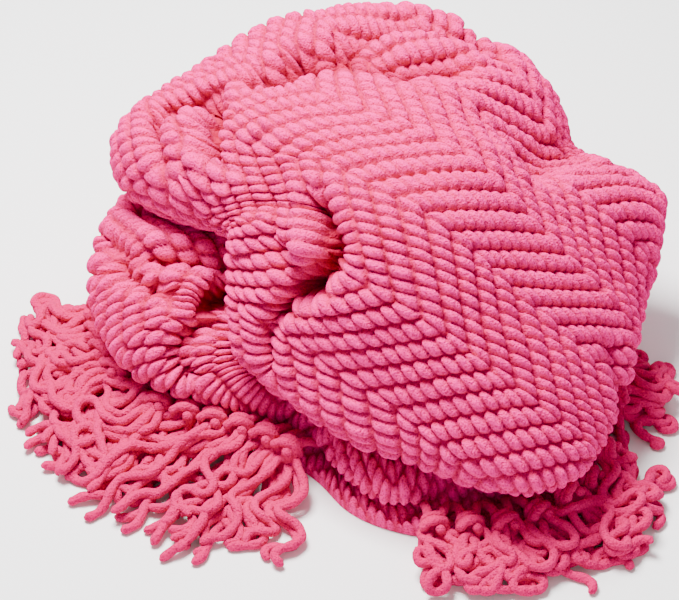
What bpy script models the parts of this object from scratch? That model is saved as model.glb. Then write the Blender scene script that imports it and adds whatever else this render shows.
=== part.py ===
"""Knit throw blanket, lying where it was dropped: one chunky sheet in a rounded heap, with knotted tassels at its ends.

The sheet is drawn as vertical sections fanned about the heap's crown. A section runs from the crown down to the
top fold, in under it to a tuck, out again over the lower roll and down to the hem, which lies flat on the floor.
Metres, +Z up, origin at the middle of the base. Azimuth 0 is +X, 90 is the back (+Y), 270 is the front (-Y).
"""

import math

import bmesh
import bpy
import numpy as np

CLOTH_THICKNESS = 0.012
CROWN = (0.025, 0.038, 0.306)
COLUMNS = 72

# One row for each section: its azimuth in degrees, then radii from the crown's axis and heights.
SECTION_COLUMNS = (
    "azimuth", "shoulder_r", "shoulder_z", "brow_z", "fold_r", "fold_z", "lip_z", "tuck_r", "top_z", "roll_r",
    "roll_z", "hem_r",
)
SECTIONS = (
    (0, 0.160, 0.238, 0.157, 0.278, 0.112, 0.086, 0.155, 0.056, 0.238, 0.042, 0.250),
    (12, 0.172, 0.234, 0.180, 0.300, 0.140, 0.112, 0.150, 0.082, 0.252, 0.055, 0.258),
    (21, 0.178, 0.228, 0.178, 0.314, 0.148, 0.122, 0.155, 0.096, 0.266, 0.064, 0.266),
    (27, 0.184, 0.226, 0.188, 0.284, 0.154, 0.130, 0.165, 0.100, 0.275, 0.068, 0.276),
    (34, 0.200, 0.230, 0.212, 0.256, 0.170, 0.145, 0.175, 0.106, 0.284, 0.073, 0.286),
    (43, 0.216, 0.258, 0.240, 0.268, 0.188, 0.160, 0.188, 0.114, 0.294, 0.078, 0.298),
    (54, 0.224, 0.280, 0.254, 0.280, 0.200, 0.172, 0.196, 0.120, 0.303, 0.082, 0.310),
    (70, 0.226, 0.296, 0.264, 0.286, 0.208, 0.181, 0.200, 0.125, 0.310, 0.085, 0.318),
    (92, 0.224, 0.299, 0.266, 0.287, 0.213, 0.185, 0.200, 0.127, 0.312, 0.085, 0.322),
    (114, 0.228, 0.290, 0.258, 0.288, 0.204, 0.176, 0.195, 0.127, 0.310, 0.085, 0.318),
    (128, 0.236, 0.268, 0.244, 0.290, 0.194, 0.166, 0.185, 0.127, 0.306, 0.088, 0.310),
    (142, 0.240, 0.254, 0.236, 0.296, 0.190, 0.160, 0.162, 0.130, 0.300, 0.095, 0.300),
    (154, 0.228, 0.240, 0.233, 0.289, 0.188, 0.160, 0.138, 0.130, 0.295, 0.102, 0.290),
    (163, 0.188, 0.244, 0.236, 0.247, 0.192, 0.168, 0.112, 0.138, 0.290, 0.105, 0.282),
    (172, 0.131, 0.258, 0.249, 0.172, 0.204, 0.182, 0.096, 0.148, 0.286, 0.100, 0.276),
    (181, 0.106, 0.264, 0.249, 0.138, 0.204, 0.182, 0.092, 0.140, 0.276, 0.090, 0.264),
    (192, 0.100, 0.259, 0.224, 0.137, 0.179, 0.158, 0.092, 0.117, 0.256, 0.078, 0.240),
    (202, 0.100, 0.255, 0.197, 0.143, 0.152, 0.131, 0.094, 0.091, 0.226, 0.066, 0.212),
    (212, 0.102, 0.249, 0.175, 0.154, 0.130, 0.108, 0.094, 0.073, 0.184, 0.057, 0.184),
    (222, 0.106, 0.244, 0.163, 0.160, 0.118, 0.095, 0.092, 0.063, 0.148, 0.047, 0.166),
    (240, 0.119, 0.239, 0.151, 0.158, 0.106, 0.082, 0.085, 0.051, 0.130, 0.036, 0.158),
    (254, 0.125, 0.238, 0.148, 0.172, 0.103, 0.077, 0.090, 0.048, 0.140, 0.035, 0.174),
    (264, 0.132, 0.238, 0.146, 0.188, 0.101, 0.074, 0.102, 0.048, 0.158, 0.035, 0.204),
    (279, 0.144, 0.238, 0.144, 0.212, 0.099, 0.073, 0.120, 0.045, 0.190, 0.035, 0.236),
    (289, 0.156, 0.234, 0.142, 0.242, 0.097, 0.072, 0.135, 0.044, 0.205, 0.035, 0.252),
    (299, 0.176, 0.217, 0.137, 0.282, 0.094, 0.070, 0.152, 0.043, 0.222, 0.034, 0.266),
    (308, 0.185, 0.212, 0.135, 0.300, 0.092, 0.069, 0.158, 0.042, 0.230, 0.034, 0.274),
    (323, 0.175, 0.217, 0.137, 0.286, 0.094, 0.070, 0.148, 0.043, 0.228, 0.035, 0.272),
    (341, 0.164, 0.230, 0.146, 0.270, 0.101, 0.076, 0.142, 0.048, 0.218, 0.038, 0.252),
)
# Stations along a section: 0 crown, 1 mid slope, 2 shoulder, 3 brow, 4 fold, 5 lip, 6 tuck's mouth, 7 tuck,
# 8 tuck's lower mouth, 9 top of the roll, 10 roll, 11 foot, 12 where it meets the floor, 13 hem.
LAST_STATION = 13
ROWS_AT = (
    0, 0.45, 0.85, 1.2, 1.55, 1.9, 2.25, 2.6, 2.95, 3.3, 3.65, 4, 4.35, 4.7, 5, 5.5, 6, 6.5, 7, 7.5, 8, 8.3, 8.6,
    8.85, 9.1, 9.4, 9.7, 10, 10.4, 10.8, 11.3, 12, 12.35, 13,
)
BROW_SHARE = 0.91
LIP_IN = 0.018
TUCK_SHARE, TUCK_MOST = 0.48, 0.019
FOOT_OUT, HEM_FLAT = 0.040, 0.030

# Creases pressed into the sheet: depth at the middle (a ridge is negative), half width, and the line that each
# follows, as pairs of azimuth and station.
CREASE_COLUMNS = ("what it is", "depth", "half_width", "line")
CREASES = (
    ("valley behind the crown, deep end", 0.030, 0.036, ((131, 1.30), (126, 1.16), (117, 1.27))),
    ("valley behind the crown", 0.020, 0.036, ((117, 1.27), (101, 1.14), (74, 0.95), (58, 1.27))),
    ("groove between the two back ridges", 0.020, 0.028, ((98, 1.35), (80, 1.68), (66, 1.8), (54, 1.9))),
    ("groove in the nose", 0.018, 0.026, ((146, 1.7), (148, 1.9), (152, 2.15), (156, 2.5))),
    ("hollow of the nose", 0.024, 0.032, ((152, 1.36), (158, 1.5))),
    ("pocket in the front flap", 0.032, 0.034, ((229, 1.45), (243, 1.6), (245, 1.9), (238, 2.25))),
    ("slack beside the pocket", 0.014, 0.034, ((205, 2.0), (222, 2.2), (232, 2.3))),
    ("line under the pocket", 0.016, 0.020, ((233, 2.4), (228, 2.8), (228, 3.3), (231, 3.8))),
    ("upper wrinkle of the left lobe", 0.018, 0.022, ((166, 9.6), (177, 8.8), (175, 8.2))),
    ("lower wrinkle of the left lobe", 0.016, 0.019, ((176, 9.4), (187, 8.8))),
    ("pit of the left lobe", 0.020, 0.024, ((192, 8.5), (188, 8.3))),
    ("groove under the pit", 0.014, 0.022, ((195, 8.5), (200, 8.9), (205, 9.3))),
    ("slack at the right corner", 0.014, 0.036, ((14, 1.9), (26, 2.3), (30, 2.9))),
    ("fall of the back, right", 0.016, 0.040, ((62, 2.7), (66, 3.4), (64, 4.2))),
    ("fall of the back, left", 0.018, 0.042, ((104, 2.8), (107, 3.5), (104, 4.3))),
    ("lower roll at the back, right", 0.016, 0.040, ((80, 9.0), (84, 9.8), (82, 10.6))),
    ("lower roll at the back, left", 0.016, 0.040, ((121, 9.0), (124, 9.8), (122, 10.6))),
    ("lower roll at the right", 0.014, 0.036, ((33, 9.0), (35, 9.8), (34, 10.5))),
    ("gather at the lower right", 0.012, 0.026, ((334, 3.3), (331, 3.9), (333, 4.4))),
)
CREASE_REACH = 2.0

# The fringe: each run's tassels, the azimuths that it spans on the hem, and the line of its strands' tips.
FRINGE_COLUMNS = ("tassels", "strands in each", "hem from and to", "tips as (azimuth, radius)")
FRINGES = {
    "left": (11, 4, (166, 247), ((175, 0.360), (196, 0.345), (214, 0.340), (232, 0.316), (249, 0.252))),
    "front": (7, 3, (279, 329), ((277, 0.270), (289, 0.316), (303, 0.338), (315, 0.345), (326, 0.316))),
    "right": (2, 3, (340, 356), ((338, 0.306), (349, 0.314), (359, 0.300))),
}
STRAND_WIDTH, STRAND_HEIGHT, STRAND_STEP = 0.0066, 0.0076, 0.022
ROOT_WIDTH, ROOT_SPREAD, ROOT_FREE = 0.0042, 0.0155, 0.030
KNOT_LONG, KNOT_WIDE, KNOT_HIGH = 0.015, 0.013, 0.0115
SEAT_GAP, SEAT_HALF = 0.0003, 0.0075
WAVE, WAVE_LENGTH = 0.014, 0.085

# Moves the finished heap so that its box is centred on the origin.
HEAP_MOVE = (0.0007, -0.0501)

YARN_PINK = (0.84, 0.075, 0.20, 1.0)
FRINGE_PINK = (0.80, 0.045, 0.165, 1.0)


def hermite(x, points, slopes, at, span):
    """Cubic through points with the given slopes. x, points and slopes have the knots on axis 1."""
    row = np.arange(len(at))
    width = x[row, span + 1] - x[row, span]
    t = ((at - x[row, span]) / width)[:, None]
    width = width[:, None]
    start, end = points[row, span], points[row, span + 1]
    leave, arrive = slopes[row, span] * width, slopes[row, span + 1] * width
    return (
        (2 * t**3 - 3 * t**2 + 1) * start
        + (t**3 - 2 * t**2 + t) * leave
        + (3 * t**2 - 2 * t**3) * end
        + (t**3 - t**2) * arrive
    )


def section_sizes(azimuth):
    """The section table's columns at any azimuths, as a dictionary of arrays."""
    rows = np.array(SECTIONS, float)
    before, after = rows[-2:].copy(), rows[:2].copy()
    before[:, 0] -= 360
    after[:, 0] += 360
    rows = np.vstack([before, rows, after])
    x, y = rows[:, 0], rows[:, 1:]
    slopes = np.gradient(y, x, axis=0)
    azimuth = np.asarray(azimuth, float) % 360
    span = np.searchsorted(x, azimuth, side="right") - 1
    count = len(azimuth)
    spread = [np.broadcast_to(a, (count,) + a.shape) for a in (x, y, slopes)]
    values = hermite(*spread, azimuth, span)
    return dict(zip(SECTION_COLUMNS[1:], values.T))


def section_points(azimuth):
    """The (radius, height) of each station of the sections at these azimuths."""
    s = section_sizes(azimuth)
    level = np.zeros(len(s["hem_r"]))
    rest = CLOTH_THICKNESS / 2
    tuck_z = (s["lip_z"] + s["top_z"]) / 2
    gap = np.minimum(TUCK_SHARE * (s["lip_z"] - s["top_z"]), TUCK_MOST)
    stations = (
        (level, CROWN[2] + level),
        (0.55 * s["shoulder_r"], CROWN[2] - 0.22 * (CROWN[2] - s["shoulder_z"])),
        (s["shoulder_r"], s["shoulder_z"]),
        (BROW_SHARE * s["fold_r"], s["brow_z"]),
        (s["fold_r"], s["fold_z"]),
        (s["fold_r"] - LIP_IN, s["lip_z"]),
        (s["tuck_r"] + 1.1 * gap, tuck_z + gap),
        (s["tuck_r"], tuck_z),
        (s["tuck_r"] + 1.1 * gap, tuck_z - gap),
        (s["roll_r"] - 0.8 * (s["top_z"] - s["roll_z"]), s["top_z"]),
        (s["roll_r"], s["roll_z"]),
        (s["hem_r"] - FOOT_OUT, 0.26 * s["roll_z"] + rest),
        (s["hem_r"] - HEM_FLAT, rest + level),
        (s["hem_r"], rest + level),
    )
    return np.stack([np.stack(pair, axis=-1) for pair in stations], axis=1)


def bare_surface(azimuth, station):
    """Points of the sheet's middle surface before its creases are pressed in."""
    azimuth = np.asarray(azimuth, float)
    station = np.asarray(station, float)
    points = section_points(azimuth)
    gaps = np.linalg.norm(np.diff(points, axis=1), axis=2) ** 0.5
    steps = np.diff(points, axis=1) / gaps[..., None]
    x = np.concatenate([np.zeros((len(gaps), 1)), np.cumsum(gaps, axis=1)], axis=1)
    slopes = np.empty_like(points)
    before, after = gaps[:, :-1, None], gaps[:, 1:, None]
    slopes[:, 1:-1] = (steps[:, 1:] * before + steps[:, :-1] * after) / (before + after)
    slopes[:, 0] = steps[:, 0] * (1, 0)
    slopes[:, -1] = steps[:, -1]
    span = np.clip(station.astype(int), 0, LAST_STATION - 1)
    row = np.arange(len(x))
    at = x[row, span] + (station - span) * gaps[row, span]
    radius, height = hermite(x, points, slopes, at, span).T
    height = np.maximum(height, CLOTH_THICKNESS / 2)
    turn = np.radians(azimuth)
    return np.stack([CROWN[0] + radius * np.cos(turn), CROWN[1] + radius * np.sin(turn), height], axis=1)


def outward(azimuth, station):
    """Unit normals of the sheet's outer face."""
    station = np.clip(station, 0.03, LAST_STATION - 0.03)
    around = bare_surface(azimuth + 0.5, station) - bare_surface(azimuth - 0.5, station)
    along = bare_surface(azimuth, station + 0.02) - bare_surface(azimuth, station - 0.02)
    normal = np.cross(along, around)
    return normal / np.linalg.norm(normal, axis=1)[:, None]


def distance_to_line(points, line):
    """How far each point is from a line of short straight runs."""
    nearest = np.full(len(points), np.inf)
    for start, end in zip(line[:-1], line[1:]):
        run = end - start
        share = np.clip((points - start) @ run / (run @ run), 0, 1)
        nearest = np.minimum(nearest, np.linalg.norm(points - start - share[:, None] * run, axis=1))
    return nearest


def surface(azimuth, station, creases=CREASES):
    """Points of the sheet's middle surface with its creases."""
    azimuth = np.asarray(azimuth, float)
    station = np.asarray(station, float)
    points = bare_surface(azimuth, station)
    normal = outward(azimuth, station)
    press = np.zeros(len(points))
    for name, depth, half_width, line in creases:
        turns, stops = np.array(line, float).T
        fine = np.linspace(0, len(line) - 1, 6 * (len(line) - 1) + 1)
        knots = np.arange(len(line))
        path = bare_surface(np.interp(fine, knots, turns), np.interp(fine, knots, stops))
        away = distance_to_line(points, path) / half_width
        same_layer = np.abs(station - stops.mean()) < CREASE_REACH
        press += depth * np.where((away < 1) & same_layer, (1 - away**2) ** 2, 0)
    return points - press[:, None] * normal


def new_material(name, colour, roughness):
    material = bpy.data.materials.new(name)
    material.use_nodes = True
    shader = material.node_tree.nodes["Principled BSDF"]
    shader.inputs["Base Color"].default_value = colour
    shader.inputs["Roughness"].default_value = roughness
    shader.inputs["Metallic"].default_value = 0.0
    return material


def new_object(name, bm, material):
    mesh = bpy.data.meshes.new(name)
    bm.to_mesh(mesh)
    bm.free()
    mesh.shade_smooth()
    if material:
        mesh.materials.append(material)
    piece = bpy.data.objects.new(name, mesh)
    piece.location = (HEAP_MOVE[0], HEAP_MOVE[1], 0)
    bpy.context.scene.collection.objects.link(piece)
    return piece


def build_blanket(material):
    """The knit sheet: a grid laid on the heap's surface, closed round the crown and thickened."""
    bm = bmesh.new()
    rows = len(ROWS_AT) - 1
    bmesh.ops.create_grid(bm, x_segments=COLUMNS, y_segments=rows, size=1)
    flat = np.array([v.co[:] for v in bm.verts])
    azimuth = np.round((flat[:, 0] + 1) / 2 * COLUMNS) % COLUMNS * 360 / COLUMNS
    station = np.interp((flat[:, 1] + 1) / 2 * rows, np.arange(rows + 1), ROWS_AT)
    for vert, place in zip(bm.verts, surface(azimuth, station)):
        vert.co = place
    bmesh.ops.remove_doubles(bm, verts=bm.verts, dist=0.00005)
    bmesh.ops.reverse_faces(bm, faces=bm.faces)
    blanket = new_object("blanket", bm, material)
    thick = blanket.modifiers.new("cloth thickness", "SOLIDIFY")
    thick.thickness = CLOTH_THICKNESS
    thick.offset = 0
    return blanket


def hem_point(turns):
    reach = section_sizes(turns)["hem_r"]
    angle = np.radians(turns)
    return np.stack([CROWN[0] + reach * np.cos(angle), CROWN[1] + reach * np.sin(angle)], axis=1)


def hem_line(start, end, shares):
    """Points and outward directions on the smooth hem, at shares of its length from one azimuth to another."""
    turns = np.linspace(start, end, 400)
    line = hem_point(turns)
    length = np.concatenate([[0], np.cumsum(np.linalg.norm(np.diff(line, axis=0), axis=1))])
    here = np.interp(np.asarray(shares) * length[-1], length, turns)
    run = hem_point(here + 1) - hem_point(here - 1)
    run /= np.linalg.norm(run, axis=1)[:, None]
    return hem_point(here), np.stack([run[:, 1], -run[:, 0]], axis=1)


def rim_ahead(seat, away):
    """How far the faceted rim stands out past a seat, over the width of a knot's flat back."""
    corners = hem_point(np.arange(COLUMNS + 1) * 360 / COLUMNS)
    fine = np.linspace(0, COLUMNS, COLUMNS * 24 + 1)
    knots = np.arange(COLUMNS + 1)
    rim = np.stack([np.interp(fine, knots, corners[:, 0]), np.interp(fine, knots, corners[:, 1])], axis=1) - seat
    behind = np.abs(rim @ np.array([-away[1], away[0]])) < SEAT_HALF
    near = np.linalg.norm(rim, axis=1) < 0.04
    return (rim @ away)[behind & near].max()


def add_strand(bm, path, widths, heights):
    """A four-sided strand along a floor path of (x, y, z of its underside), closed at both ends."""
    rings = []
    for k, point in enumerate(path):
        ahead = path[min(k + 1, len(path) - 1)] - path[max(k - 1, 0)]
        side = np.array([-ahead[1], ahead[0], 0]) / math.hypot(ahead[0], ahead[1]) * widths[k] / 2
        top = np.array([0, 0, heights[k]])
        corners = (point - side, point + side, point + 0.75 * side + top, point - 0.75 * side + top)
        rings.append([bm.verts.new(c) for c in corners])
    for ring, following in zip(rings[:-1], rings[1:]):
        for k in range(4):
            bm.faces.new((ring[k], ring[(k + 1) % 4], following[(k + 1) % 4], following[k]))
    bm.faces.new(rings[0][::-1])
    bm.faces.new(rings[-1])


def build_tassel(name, seat, away, lanes, material):
    """One tassel: a knot with a flat back seated on the hem, and its strands fanned out level on the floor."""
    out = np.array([away[0], away[1], 0])
    side = np.array([-away[1], away[0], 0])
    base = np.array([seat[0], seat[1], 0]) + (rim_ahead(seat, away) + SEAT_GAP) * out
    bm = bmesh.new()
    bmesh.ops.create_uvsphere(bm, u_segments=10, v_segments=6, radius=1)
    middle = math.cos(math.pi / 6)
    places = []
    for vert in bm.verts:
        along, wide, high = vert.co.z, vert.co.x, vert.co.y
        ridge = 1 if along < -0.8 else 1 + 0.08 * math.cos(3 * math.atan2(high, wide) + 4 * along)
        along = max(along, -middle)
        places.append((KNOT_LONG * (along + middle), KNOT_WIDE * wide * ridge, KNOT_HIGH * high * ridge))
    floor = min(place[2] for place in places)
    for vert, place in zip(bm.verts, places):
        vert.co = base + place[0] * out + place[1] * side + np.array([0, 0, place[2] - floor])
    bmesh.ops.recalc_face_normals(bm, faces=bm.faces)
    tassel = new_object(name, bm, material)

    bm = bmesh.new()
    for k, lane in enumerate(lanes):
        place = (k - (len(lanes) - 1) / 2) / (len(lanes) - 1)
        root = base + 0.95 * KNOT_LONG * out + place * ROOT_SPREAD * side
        gone = np.concatenate([[0], np.cumsum(np.linalg.norm(np.diff(lane, axis=0), axis=1))])
        blend = np.clip(1 - gone / ROOT_FREE, 0, 1)[:, None]
        path = np.zeros((len(lane), 3))
        path[:, :2] = lane
        path = path * (1 - blend) + (root + gone[:, None] * out) * blend
        path[:, 2] = np.interp(gone, (0, 0.024), (0.007, 0))
        widths = np.interp(gone, (0, 0.024, 0.06), (ROOT_WIDTH, 0.0050, STRAND_WIDTH))
        heights = np.interp(gone, (0, 0.05), (0.005, STRAND_HEIGHT))
        add_strand(bm, path, widths, heights)
    bmesh.ops.recalc_face_normals(bm, faces=bm.faces)
    strands = new_object(name + "_strands_tool", bm, None)
    strands.hide_render = True
    strands.display_type = "WIRE"
    join = tassel.modifiers.new("strands grow from the knot", "BOOLEAN")
    join.operation = "UNION"
    join.solver = "EXACT"
    join.object = strands
    return tassel


def strand_lane(hem, tips, share, lane, breadth):
    """The floor path of one strand: straight from the hem to its tip, swayed along the run so lanes never cross."""

    def tip_at(shares):
        turn, reach = np.array(tips, float).T
        knots = np.linspace(0, 1, len(tips))
        angle = np.radians(np.interp(shares, knots, turn))
        reach = np.interp(shares, knots, reach)
        return np.stack([CROWN[0] + reach * np.cos(angle), CROWN[1] + reach * np.sin(angle)], axis=1)

    start, away = hem_line(hem[0], hem[1], [share])
    start = start[0] + KNOT_LONG * away[0]
    uneven = 0.95 + 0.05 * math.sin(2.4 * lane) + 0.03 * math.sin(5.1 * lane + 1)
    reach = np.linalg.norm(tip_at([share])[0] - start)
    t = np.linspace(0, uneven, max(3, round(reach / STRAND_STEP)) + 1)
    turn = 2 * math.pi * t * reach / WAVE_LENGTH + 0.12 * lane
    calm_ends = min(1, share / 0.1, (1 - share) / 0.1)
    sway = WAVE * calm_ends * np.clip(t * reach / 0.08 - 0.25, 0, 1) * np.sin(turn) * 0.3 / breadth
    from_hem, away = hem_line(hem[0], hem[1], np.clip(share + sway, 0, 1))
    return (1 - t)[:, None] * (from_hem + KNOT_LONG * away) + t[:, None] * tip_at(share + sway)


def build_fringe(material):
    """Every run of tassels: knots evenly along the hem, strands in even lanes from the knots to the tip line."""
    for run, (count, strands, hem, tips) in FRINGES.items():
        line, away = hem_line(hem[0], hem[1], np.linspace(0, 1, 50))
        breadth = np.linalg.norm(np.diff(line, axis=0), axis=1).sum()
        seats, ways = hem_line(hem[0], hem[1], (np.arange(count) + 0.5) / count)
        for k in range(count):
            lanes = []
            for j in range(strands):
                lane = k * strands + j
                lanes.append(strand_lane(hem, tips, (lane + 0.5) / (count * strands), lane, breadth))
            build_tassel("tassel_%s_%d" % (run, k + 1), seats[k], ways[k], lanes, material)


for old in list(bpy.data.objects):
    bpy.data.objects.remove(old)
build_blanket(new_material("pink chenille knit", YARN_PINK, 0.92))
build_fringe(new_material("pink fringe yarn", FRINGE_PINK, 0.92))
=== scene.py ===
"""Knit throw blanket, dropped in a heap: zigzag chenille ropes all over, and knotted, curly fringe."""

import math

import bmesh
import bpy
import numpy as np
from mathutils import Matrix, Vector


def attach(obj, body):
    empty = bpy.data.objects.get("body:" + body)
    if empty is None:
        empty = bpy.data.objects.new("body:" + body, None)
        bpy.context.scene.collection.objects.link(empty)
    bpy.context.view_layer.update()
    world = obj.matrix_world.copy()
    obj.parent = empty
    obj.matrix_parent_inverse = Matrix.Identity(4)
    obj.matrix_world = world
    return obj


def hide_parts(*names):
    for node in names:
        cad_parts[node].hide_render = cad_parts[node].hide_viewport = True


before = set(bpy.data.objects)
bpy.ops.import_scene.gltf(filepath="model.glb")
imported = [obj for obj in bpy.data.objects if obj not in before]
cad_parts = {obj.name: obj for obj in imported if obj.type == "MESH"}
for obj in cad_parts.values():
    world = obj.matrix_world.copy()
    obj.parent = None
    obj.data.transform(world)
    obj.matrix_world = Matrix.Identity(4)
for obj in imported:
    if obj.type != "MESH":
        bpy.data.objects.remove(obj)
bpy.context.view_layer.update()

# The floor, the camera and the light.
# A pale sweep of paper under the heap, lit by one broad soft lamp from almost straight above, a weak one from
# the front, one from behind and a bright room. The camera looks down at the heap's front from 42 degrees.
HEAP_MIDDLE = (-0.0048, -0.0501, 0.1345)
CAMERA_AWAY, CAMERA_TILT = 2.6, math.radians(42)
# The sensor's width in millimetres, and how wide the picture is at the heap's middle, in metres.
SENSOR_WIDTH, PICTURE_WIDTH = 36.0, 0.679
FLOOR_HALF = 4.0
LAMP_AIM = Vector((0, 0, 0.12))

bm = bmesh.new()
bmesh.ops.create_grid(bm, x_segments=2, y_segments=2, size=FLOOR_HALF)
floor_mesh = bpy.data.meshes.new("paper_floor")
bm.to_mesh(floor_mesh)
bm.free()
paper = bpy.data.materials.new("pale paper")
paper.use_nodes = True
paper_shader = paper.node_tree.nodes["Principled BSDF"]
paper_shader.inputs["Base Color"].default_value = (0.93, 0.92, 0.92, 1)
paper_shader.inputs["Roughness"].default_value = 0.85
floor_mesh.materials.append(paper)
paper_floor = bpy.data.objects.new("paper_floor", floor_mesh)
bpy.context.scene.collection.objects.link(paper_floor)

camera_data = bpy.data.cameras.new("camera")
camera_data.sensor_width = SENSOR_WIDTH
camera_data.lens = SENSOR_WIDTH * CAMERA_AWAY / PICTURE_WIDTH
camera_data.clip_end = 20.0
camera = bpy.data.objects.new("camera", camera_data)
look = Vector((0, math.cos(CAMERA_TILT), -math.sin(CAMERA_TILT)))
camera.location = Vector(HEAP_MIDDLE) - CAMERA_AWAY * look
camera.rotation_euler = look.to_track_quat("-Z", "Y").to_euler()
bpy.context.scene.collection.objects.link(camera)
bpy.context.scene.camera = camera

LAMPS = (
    # name, place, size in metres, power in watts
    ("broad_lamp", (-0.42, 0.26, 1.9), 0.8, 150.0),
    ("fill_lamp", (0.3, -2.2, 1.0), 1.6, 12.0),
    ("back_lamp", (0.9, 1.6, 1.3), 1.4, 12.0),
)
for lamp_name, place, size, power in LAMPS:
    lamp_data = bpy.data.lights.new(lamp_name, "AREA")
    lamp_data.size = size
    lamp_data.energy = power
    lamp = bpy.data.objects.new(lamp_name, lamp_data)
    lamp.location = place
    lamp.rotation_euler = (LAMP_AIM - Vector(place)).to_track_quat("-Z", "Y").to_euler()
    bpy.context.scene.collection.objects.link(lamp)
room = bpy.data.worlds.new("bright room")
room.use_nodes = True
room.node_tree.nodes["Background"].inputs["Color"].default_value = (1, 1, 1, 1)
room.node_tree.nodes["Background"].inputs["Strength"].default_value = 0.44
bpy.context.scene.world = room

# The upper cloth: the crown, the flap over the front and right, the nose and the back.
# One chunky sheet, knit in zigzag ropes of chenille. It lies as in part.py: vertical sections fanned about
# the crown, a row of sizes for each, with creases pressed in. Here each rope and stitch is raised as well.
CROWN = (0.0257, -0.0121, 0.306)
CLOTH_THICKNESS = 0.012
SECTION_COLUMNS = (
    "azimuth", "shoulder_r", "shoulder_z", "brow_z", "fold_r", "fold_z",
    "lip_z", "tuck_r", "top_z", "roll_r", "roll_z", "hem_r",
)
SECTIONS = (
    (0, 0.160, 0.238, 0.157, 0.278, 0.112, 0.086, 0.155, 0.056, 0.238, 0.042, 0.250),
    (12, 0.172, 0.234, 0.180, 0.300, 0.140, 0.112, 0.150, 0.082, 0.252, 0.055, 0.258),
    (21, 0.178, 0.228, 0.178, 0.314, 0.148, 0.122, 0.155, 0.096, 0.266, 0.064, 0.266),
    (27, 0.184, 0.226, 0.188, 0.284, 0.154, 0.130, 0.165, 0.100, 0.275, 0.068, 0.276),
    (34, 0.200, 0.230, 0.212, 0.256, 0.170, 0.145, 0.175, 0.106, 0.284, 0.073, 0.286),
    (43, 0.216, 0.258, 0.240, 0.268, 0.188, 0.160, 0.188, 0.114, 0.294, 0.078, 0.298),
    (54, 0.224, 0.280, 0.254, 0.280, 0.200, 0.172, 0.196, 0.120, 0.303, 0.082, 0.310),
    (70, 0.226, 0.296, 0.264, 0.286, 0.208, 0.181, 0.200, 0.125, 0.310, 0.085, 0.318),
    (92, 0.224, 0.299, 0.266, 0.287, 0.213, 0.185, 0.200, 0.127, 0.312, 0.085, 0.322),
    (114, 0.228, 0.290, 0.258, 0.288, 0.204, 0.176, 0.195, 0.127, 0.310, 0.085, 0.318),
    (128, 0.236, 0.268, 0.244, 0.290, 0.194, 0.166, 0.185, 0.127, 0.306, 0.088, 0.310),
    (142, 0.240, 0.254, 0.236, 0.296, 0.190, 0.160, 0.162, 0.130, 0.300, 0.095, 0.300),
    (154, 0.228, 0.240, 0.233, 0.289, 0.188, 0.160, 0.138, 0.130, 0.295, 0.102, 0.290),
    (163, 0.188, 0.244, 0.236, 0.247, 0.192, 0.168, 0.112, 0.138, 0.290, 0.105, 0.282),
    (172, 0.131, 0.258, 0.249, 0.172, 0.204, 0.182, 0.096, 0.148, 0.286, 0.100, 0.276),
    (181, 0.106, 0.264, 0.249, 0.138, 0.204, 0.182, 0.092, 0.140, 0.276, 0.090, 0.264),
    (192, 0.100, 0.259, 0.224, 0.137, 0.179, 0.158, 0.092, 0.117, 0.256, 0.078, 0.240),
    (202, 0.100, 0.255, 0.197, 0.143, 0.152, 0.131, 0.094, 0.091, 0.226, 0.066, 0.212),
    (212, 0.102, 0.249, 0.175, 0.154, 0.130, 0.108, 0.094, 0.073, 0.184, 0.057, 0.184),
    (222, 0.106, 0.244, 0.163, 0.160, 0.118, 0.095, 0.092, 0.063, 0.148, 0.047, 0.166),
    (240, 0.119, 0.239, 0.151, 0.158, 0.106, 0.082, 0.085, 0.051, 0.130, 0.036, 0.158),
    (254, 0.125, 0.238, 0.148, 0.172, 0.103, 0.077, 0.090, 0.048, 0.152, 0.036, 0.174),
    (264, 0.132, 0.238, 0.146, 0.188, 0.101, 0.074, 0.102, 0.048, 0.184, 0.036, 0.204),
    (279, 0.144, 0.238, 0.144, 0.212, 0.099, 0.073, 0.120, 0.045, 0.216, 0.036, 0.236),
    (289, 0.156, 0.234, 0.142, 0.242, 0.097, 0.072, 0.135, 0.044, 0.205, 0.035, 0.252),
    (299, 0.176, 0.217, 0.137, 0.282, 0.094, 0.070, 0.152, 0.043, 0.222, 0.034, 0.266),
    (308, 0.185, 0.212, 0.135, 0.300, 0.092, 0.069, 0.158, 0.042, 0.230, 0.034, 0.274),
    (323, 0.175, 0.217, 0.137, 0.286, 0.094, 0.070, 0.148, 0.043, 0.228, 0.035, 0.272),
    (341, 0.164, 0.230, 0.146, 0.270, 0.101, 0.076, 0.142, 0.048, 0.218, 0.038, 0.252),
)
# Stations along a section: 0 crown, 2 shoulder, 4 fold, 5 lip, 7 tuck, 9 top of the roll, 10 roll, 13 hem.
ROLL_STATION, LAST_STATION = 10, 13
# The stations that have no column of their own, as shares of the sizes in the table or set back in metres.
SLOPE_REACH, SLOPE_DROP = 0.55, 0.22
BROW_REACH = 0.91
LIP_BACK = 0.018
TUCK_SHARE, TUCK_MOST, TUCK_ROUND = 0.48, 0.019, 1.1
TOP_BACK = 0.8
HEM_BEND_BACK, HEM_BEND_RISE = 0.040, 0.26
HEM_FLAT_BACK = 0.030
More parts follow.
